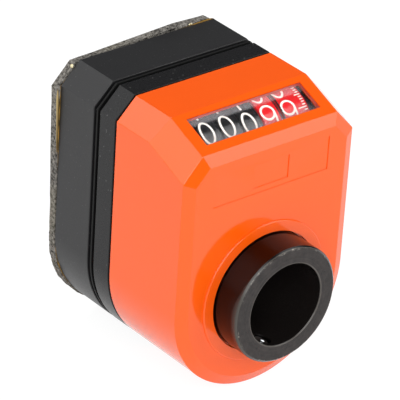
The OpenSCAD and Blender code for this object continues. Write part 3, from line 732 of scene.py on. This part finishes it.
class INDICATOR_OT_hub(Operator):
    """Hub with its grub screw, clip, seal and burr, and the torque pin"""
    bl_idname = "indicator.hub"
    bl_label = "Hub and pin"

    def execute(self, context):
        low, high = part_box("hub")
        finish_node("hub", oxide_steel("steel_black_oxide", low.y))
        small = oxide_steel("steel_black_oxide_small", high.y)
        for node in ("gear_circlip", "grub_screw"):
            finish_node(node, small)
        steel = turned_steel()
        finish_node("torque_pin", steel)
        finish_node("front_seal", soft_rubber("nitrile_black", "#161616", roughness=0.5))
        self.burr(steel)
        return {"FINISHED"}

    def burr(self, steel):
        """Bright burr that the grub screw has raised at the bore's wall."""
        facing = BURR_FACING.to_track_quat("Z", "Y").to_matrix().to_4x4()
        place = Matrix.Translation(BURR_PLACE)
        turn = Matrix.Rotation(BURR_TURN, 4, "Z")
        stretch = Matrix.Diagonal((*BURR_STRETCH, 1))
        bm = bmesh.new()
        bmesh.ops.create_cone(bm, cap_ends=True, segments=12, radius1=BURR_RADII[0], radius2=BURR_RADII[1],
                              depth=BURR_HEIGHT, matrix=place @ facing @ turn @ stretch)
        piece("screw_burr", bm, "hub", steel)


class INDICATOR_OT_counter(Operator):
    """Drums, plates, gears and frame of the counter"""
    bl_idname = "indicator.counter"
    bl_label = "Counter"

    def execute(self, context):
        black = drum_abs("black_abs_polished", tint("drum_black"))
        red = drum_abs("red_abs_polished", tint("drum_red"))
        for i in DRUMS:
            finish_node(f"drum_{i}", black if i <= BLACK_DRUMS else red)
        dull = frame_polyamide()
        for node in ("counter_frame", "drum_gear", *(f"carry_plate_{i}" for i in CARRIES)):
            finish_node(node, dull)
        pale = gear_acetal()
        for node in ("hub_gear", "screw_pinion", "cross_gear", "thrust_washer",
                     *(f"carry_pinion_{i}" for i in CARRIES)):
            finish_node(node, pale)
        steel = turned_steel()
        for node in ("drum_axle", "cross_shaft"):
            finish_node(node, steel)
        return {"FINISHED"}


# Black bands round the red drums' ends: drum, start and width in millimetres from the drum's left end
BANDS = (("drum_4", 4.6, 0.25), ("drum_5", 0.0, 0.2), ("drum_5", 7.0, 0.5))
# How far their inner and outer faces lie from the drum's, and the steps of their round
BAND_INNER, BAND_OUTER = -0.3 * MM, 0.02 * MM
BAND_STEPS = 96


class INDICATOR_OT_bands(Operator):
    """Black bands at the ends of the red drums"""
    bl_idname = "indicator.bands"
    bl_label = "Drum bands"

    def execute(self, context):
        axis = Vector(JOINTS["drum_5_turn"]["pos_m"])
        finish = drum_abs("black_abs_band", tint("drum_black"))
        for k, (drum, first, width) in enumerate(BANDS, 1):
            bm = bmesh.new()
            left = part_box(drum)[0].x + first * MM
            right = left + width * MM
            corners = [Vector((x, axis.y, axis.z + DRUM_RADIUS + r))
                       for x, r in ((left, BAND_INNER), (left, BAND_OUTER),
                                    (right, BAND_OUTER), (right, BAND_INNER))]
            line = [bm.verts.new(corner) for corner in corners]
            edges = [bm.edges.new(ends) for ends in zip(line, line[1:] + line[:1])]
            bmesh.ops.spin(bm, geom=line + edges, cent=axis, axis=(1, 0, 0), angle=2 * math.pi,
                           steps=BAND_STEPS, use_merge=True)
            bmesh.ops.recalc_face_normals(bm, faces=bm.faces)
            piece(f"drum_band_{k}", bm, drum, finish, smooth=math.radians(40))
        return {"FINISHED"}


# Faces of the window that are this near to parallel with its front are polished, the others are bonded
POLISHED = 0.95


class INDICATOR_OT_window(Operator):
    """Clear lens over the drums"""
    bl_idname = "indicator.window"
    bl_label = "Window"

    def execute(self, context):
        bm = eased("window_lens", sizes().lens_edge, segments=2)
        bm.normal_update()
        outward = max(bm.faces, key=lambda face: face.calc_area()).normal.copy()
        for face in bm.faces:
            face.material_index = int(abs(face.normal.dot(outward)) < POLISHED)
        made = piece("lens", bm, "housing", clear_lens(), smooth=math.radians(25))
        made.data.materials.append(lens_bond())
        even_normals(made)
        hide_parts("window_lens")
        return {"FINISHED"}


# Numerals


def arc(cx, cy, rx, ry, first, last, steps=20):
    """Points on part of an ellipse, from one angle to another in degrees."""
    turns = [math.radians(first + (last - first) * k / steps) for k in range(steps + 1)]
    return [(cx + rx * math.cos(t), cy + ry * math.sin(t)) for t in turns]


def fine(points, step):
    """The same line with points no further apart than a step, so that it can bend round a drum."""
    out = [points[0]]
    for (x0, y0), (x1, y1) in zip(points, points[1:]):
        count = max(1, math.ceil(math.hypot(x1 - x0, y1 - y0) / step))
        out += [(x0 + (x1 - x0) * k / count, y0 + (y1 - y0) * k / count) for k in range(1, count + 1)]
    return out


# Half width and half height of a bowl, and centre lines of the numerals, in units of half their height
BOWL = (0.52, 0.63)
NUMERALS = {
    0: [arc(0, 0, 0.47, 1, 90, 450, 36)],
    1: [[(-0.26, 0.72), (0, 1), (0, -1)]],
    2: [arc(0, 0.47, 0.52, 0.53, 170, -38) + [(-0.52, -1), (0.54, -1)]],
    3: [arc(0, 0.5, 0.46, 0.5, 150, -90), arc(0, -0.5, 0.53, 0.5, 90, -150)],
    4: [[(0.24, -1), (0.24, 1), (-0.55, -0.4), (0.54, -0.4)]],
    5: [[(0.46, 1), (-0.4, 1), (-0.45, 0.14)] + arc(0, -0.42, 0.53, 0.58, 125, -150)],
    6: [arc(0, -0.37, *BOWL, 180, 540, 32), [(-0.52, -0.4), (-0.46, 1)]],
    7: [[(-0.52, 1), (0.52, 1), (-0.18, -1)]],
    8: [arc(0, 0.52, 0.43, 0.48, 90, 450, 28), arc(0, -0.48, 0.53, 0.52, 90, 450, 28)],
    9: [arc(0, 0.37, *BOWL, 0, 360, 32), [(0.52, 0.4), (0.46, -1)]],
}
# Numeral in view on each drum, and its angle in degrees from the top of the drum toward the front
IN_VIEW = ((0, 35.4), (0, 35.2), (0, 41.2), (9, 40.3), (9, 42.4))
# Angle between numerals in degrees, their stretch in width, their place beside the drum's middle, and the
# margin that they keep from its left end
DIGIT_STEP = 36.0
WIDEN = 1.22
SHIFT = -0.63 * MM
DRUM_MARGIN = 0.03 * MM
# Longest step of a line that bends round the drum, angles at which a stroke's round end is cut, and the
# least mitre, which limits how far a stroke widens at a corner
LINE_STEP = 0.3 * MM
ROUND_END = (0.5, 1.0, 1.4)
LEAST_MITRE = 0.5


def stroke(bm, points, half, lift):
    """Flat stroke along a line: one short edge pulled from point to point."""
    ring = math.dist(points[0], points[-1]) < SAME_POINT
    line = [Vector((x, y, 0)) for x, y in (points[:-1] if ring else points)]
    widths = [half] * len(line)
    if not ring:
        head, tail = (line[0] - line[1]).normalized(), (line[-1] - line[-2]).normalized()
        round_off = [(math.sin(t), math.cos(t)) for t in ROUND_END]
        line = ([line[0] + head * half * s for s, c in reversed(round_off)] + line
                + [line[-1] + tail * half * s for s, c in round_off])
        widths = [half * c for s, c in reversed(round_off)] + widths + [half * c for s, c in round_off]
    count = len(line)
    edge, first = None, None
    for k in range(count + int(ring)):
        here = line[k % count]
        before = line[(k - 1) % count] if ring or k else here
        after = line[(k + 1) % count] if ring or k < count - 1 else here
        incoming = (here - before).normalized() if before != here else (after - here).normalized()
        outgoing = (after - here).normalized() if after != here else incoming
        along = (incoming + outgoing).normalized()
        side = Vector((-along.y, along.x, 0))
        mitre = max(LEAST_MITRE, side.dot(Vector((-outgoing.y, outgoing.x, 0))))
        spread = side * (widths[k % count] / mitre)
        up = Vector((0, 0, lift))
        if edge is None:
            pair = [bm.verts.new(here + spread + up), bm.verts.new(here - spread + up)]
            edge = bm.edges.new(pair)
            first = pair
        else:
            made = bmesh.ops.extrude_edge_only(bm, edges=[edge])["geom"]
            fresh = [v for v in made if isinstance(v, bmesh.types.BMVert)]
            pair = sorted(fresh, key=lambda v: (v.co - pair[0].co).length)
            pair[0].co = here + spread + up
            pair[1].co = here - spread + up
            edge = next(e for e in made if isinstance(e, bmesh.types.BMEdge) and set(e.verts) == set(pair))
    if ring:
        bmesh.ops.pointmerge(bm, verts=[first[0], pair[0]], merge_co=first[0].co)
        bmesh.ops.pointmerge(bm, verts=[first[1], pair[1]], merge_co=first[1].co)


def thicken(bm, depth):
    """Gives flat print its thickness, sunk half into the drum, with the faces outward."""
    bmesh.ops.recalc_face_normals(bm, faces=bm.faces)
    for face in bm.faces:
        if face.normal.z < 0:
            face.normal_flip()
    bmesh.ops.solidify(bm, geom=bm.faces[:], thickness=depth)


def wrap(bm, x, angle, axis):
    """Wraps flat print round the drum: x is its middle, angle is from the top toward the front."""
    for v in bm.verts:
        radius = DRUM_RADIUS + v.co.z
        turn = angle - v.co.y / DRUM_RADIUS
        v.co = Vector((x + v.co.x, axis.y - radius * math.sin(turn), axis.z + radius * math.cos(turn)))


def join(bm, part):
    """Moves one bmesh's geometry into another."""
    mesh = bpy.data.meshes.new("part")
    part.to_mesh(mesh)
    part.free()
    bm.from_mesh(mesh)
    bpy.data.meshes.remove(mesh)


# Graduation of the last drum: number of lines, the place of their right ends from the drum's left end, and
# their lengths at each tenth line, half-way and between
LINES = 100
LINES_END = 6.7 * MM
LONG_LINES = {0: 2.3 * MM, 5: 1.5 * MM}
SHORT_LINE = 0.85 * MM


class INDICATOR_OT_numerals(Operator):
    """Printed numerals on the five drums and the graduation on the last one"""
    bl_idname = "indicator.numerals"
    bl_label = "Numerals"

    def execute(self, context):
        ink = printed_ink()
        depth = sizes().ink
        half = sizes().digit_stroke / 2
        rise = sizes().digit_height / 2 - half
        low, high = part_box("drum_1")
        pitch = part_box("drum_2")[0].x - low.x
        middle, half_drum = (low.x + high.x) / 2, (high.x - low.x) / 2
        axis = Vector(JOINTS["drum_1_turn"]["pos_m"])
        for i, (shown, angle) in enumerate(IN_VIEW):
            bm = bmesh.new()
            for value, lines in NUMERALS.items():
                part = bmesh.new()
                for k, line in enumerate(lines):
                    points = fine([(x * rise * WIDEN, y * rise) for x, y in line], LINE_STEP)
                    # A second stroke lies a little higher, so that no two faces share a plane
                    stroke(part, points, half, depth / 2 + k * depth / 8)
                thicken(part, depth)
                reach = -min(v.co.x for v in part.verts)
                shift = max(SHIFT, reach + DRUM_MARGIN - half_drum)
                turn = math.radians(angle - DIGIT_STEP * (value - shown))
                wrap(part, middle + shift + i * pitch, turn, axis)
                join(bm, part)
            piece(f"numerals_{i + 1}", bm, f"drum_{i + 1}", ink, smooth=math.radians(40))
        self.graduation(ink, depth, axis)
        return {"FINISHED"}

    def graduation(self, ink, depth, axis):
        """Lines round the last drum, long at each numeral and middling half-way."""
        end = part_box("drum_5")[0].x + LINES_END
        bm = bmesh.new()
        angle = IN_VIEW[-1][1]
        for k in range(LINES):
            reach = LONG_LINES.get(k % 10, SHORT_LINE)
            part = bmesh.new()
            size = Matrix.Diagonal((reach, sizes().tick_width, 1, 1))
            bmesh.ops.create_grid(part, x_segments=1, y_segments=1, size=0.5,
                                  matrix=Matrix.Translation((0, 0, depth / 2)) @ size)
            thicken(part, depth)
            wrap(part, end - reach / 2, math.radians(angle + 360 / LINES * k), axis)
            join(bm, part)
        piece("graduation_5", bm, "drum_5", ink, smooth=math.radians(40))


# Stage


def floor_material():
    # Matte white studio floor: it shows white to the camera and in reflections, and keeps a soft shadow.
    made = bpy.data.materials.new("floor_white_matte")
    tree = bare_tree(made)
    rays = add(tree, "LightPath")
    seen = add(tree, "Math", {0: rays.outputs["Is Camera Ray"], 1: rays.outputs["Is Glossy Ray"]},
               operation="MAXIMUM")
    seen = add(tree, "Math", {0: seen.outputs[0], 1: rays.outputs["Is Transmission Ray"]},
               operation="MAXIMUM")
    matte = add(tree, "BsdfDiffuse", {"Color": paint("#eaeaea")})
    shadow = add(tree, "BsdfDiffuse", {"Color": paint("#696969")})
    glow = add(tree, "Emission", {"Color": paint("#ffffff"), "Strength": 0.92})
    shown = add(tree, "AddShader", {0: shadow.outputs[0], 1: glow.outputs[0]})
    both = add(tree, "MixShader", {0: seen.outputs[0], 1: matte.outputs[0], 2: shown.outputs[0]})
    add(tree, "OutputMaterial", {"Surface": both.outputs[0]})
    return made


# Lamps: direction from the object, distance and size in metres, power in watts
LAMPS = {
    "key_softbox": ((-0.62, 0.42, 0.66), 1.0, (0.90, 0.70), 4.1),
    "front_softbox": ((-0.45, -0.75, 0.48), 1.2, (1.10, 0.90), 12.6),
    "front_right_softbox": ((0.60, -0.58, 0.50), 0.9, (0.45, 0.85), 3.2),
    "right_softbox": ((0.85, 0.25, 0.46), 1.0, (0.50, 0.30), 1.5),
    "top_softbox": ((-0.15, 0.45, 0.88), 1.1, (0.50, 0.40), 3.5),
}
# Half size of the floor and its gap below the object, in metres
FLOOR_HALF = 8.0
FLOOR_GAP = 0.1 * MM


class INDICATOR_OT_stage(Operator):
    """White floor, soft lamps, world and camera"""
    bl_idname = "indicator.stage"
    bl_label = "Stage"

    def execute(self, context):
        low, high = cad_box
        self.floor(low.z - FLOOR_GAP)
        middle = (low + high) / 2
        for name, lamp in LAMPS.items():
            self.lamp(name, middle, *lamp)
        self.world()
        self.camera()
        context.scene.view_settings.view_transform = "Standard"
        return {"FINISHED"}

    def floor(self, height):
        """Floor that the object stands on."""
        bm = bmesh.new()
        bmesh.ops.create_grid(bm, x_segments=1, y_segments=1, size=FLOOR_HALF,
                              matrix=Matrix.Translation((0, 0, height)))
        made = new_object("floor", new_mesh("floor", bm, floor_material()))

    def lamp(self, name, middle, toward, distance, size, power):
        """One soft lamp that looks at the object's middle."""
        data = bpy.data.lights.new(name, "AREA")
        data.shape = "RECTANGLE"
        data.size, data.size_y = size
        data.energy = power * bpy.context.scene.indicator_stage.light
        made = new_object(name, data)
        away = Vector(toward).normalized()
        made.location = middle + away * distance
        made.rotation_euler = away.to_track_quat("Z", "Y").to_euler()

    def world(self):
        """Pale round the horizon, dark overhead and in front, as in a studio with a white sweep."""
        world = bpy.data.worlds.new("studio")
        tree = bare_tree(world)
        place = add(tree, "TexCoord").outputs["Generated"]
        way = add(tree, "SeparateXYZ", {"Vector": place})
        over = add(tree, "MapRange", {"Value": way.outputs["Z"], "From Min": 0.07, "From Max": 0.16})
        front = add(tree, "MapRange", {"Value": way.outputs["Y"], "From Min": -0.84, "From Max": -0.95})
        dark = add(tree, "Math", {0: over.outputs[0], 1: front.outputs[0]}, operation="MAXIMUM")
        tone = add(tree, "Mix", {0: dark.outputs[0], 6: paint("#f9f9f9"), 7: paint("#59595b")},
                   data_type="RGBA")
        light = add(tree, "Background", {"Color": tone.outputs[2], "Strength": 1.0})
        add(tree, "OutputWorld", {"Surface": light.outputs[0]})
        bpy.context.scene.world = world

    def camera(self):
        """Camera at the photograph's angle."""
        stage = bpy.context.scene.indicator_stage
        data = bpy.data.cameras.new("camera")
        data.lens = stage.lens
        data.sensor_width = 36.0
        data.clip_start, data.clip_end = 0.01, 50.0
        made = new_object("camera", data)
        level = math.cos(stage.elevation)
        away = Vector((math.sin(stage.azimuth) * level, -math.cos(stage.azimuth) * level,
                       math.sin(stage.elevation)))
        made.location = Vector(stage.aim) + away * stage.distance
        made.rotation_mode = "QUATERNION"
        made.rotation_quaternion = away.to_track_quat("Z", "Y") @ Quaternion((0, 0, 1), stage.roll)
        bpy.context.scene.camera = made


class INDICATOR_PT_sidebar(bpy.types.Panel):
    """Lists the indicator's steps"""
    bl_label = "Position indicator"
    bl_space_type = "VIEW_3D"
    bl_region_type = "UI"
    bl_category = "Indicator"

    def draw(self, context):
        for operator in OPERATORS:
            self.layout.operator(operator.bl_idname)


OPERATORS = (INDICATOR_OT_case, INDICATOR_OT_housing, INDICATOR_OT_gasket, INDICATOR_OT_hub,
             INDICATOR_OT_counter, INDICATOR_OT_bands, INDICATOR_OT_window, INDICATOR_OT_numerals,
             INDICATOR_OT_stage)
GROUPS = {"indicator_sizes": IndicatorSizes, "indicator_colours": IndicatorColours,
          "indicator_stage": IndicatorStage}


def register():
    """Adds the classes and the scene's properties to Blender."""
    for made in (*GROUPS.values(), *OPERATORS, INDICATOR_PT_sidebar):
        bpy.utils.register_class(made)
    for name, group in GROUPS.items():
        setattr(bpy.types.Scene, name, PointerProperty(type=group))


def unregister():
    """Takes them away again."""
    for name in GROUPS:
        delattr(bpy.types.Scene, name)
    for made in (INDICATOR_PT_sidebar, *reversed(OPERATORS), *GROUPS.values()):
        bpy.utils.unregister_class(made)


def main():
    """Runs the steps in order."""
    register()
    for operator in OPERATORS:
        group, name = operator.bl_idname.split(".")
        getattr(getattr(bpy.ops, group), name)()


if __name__ == "__main__":
    main()
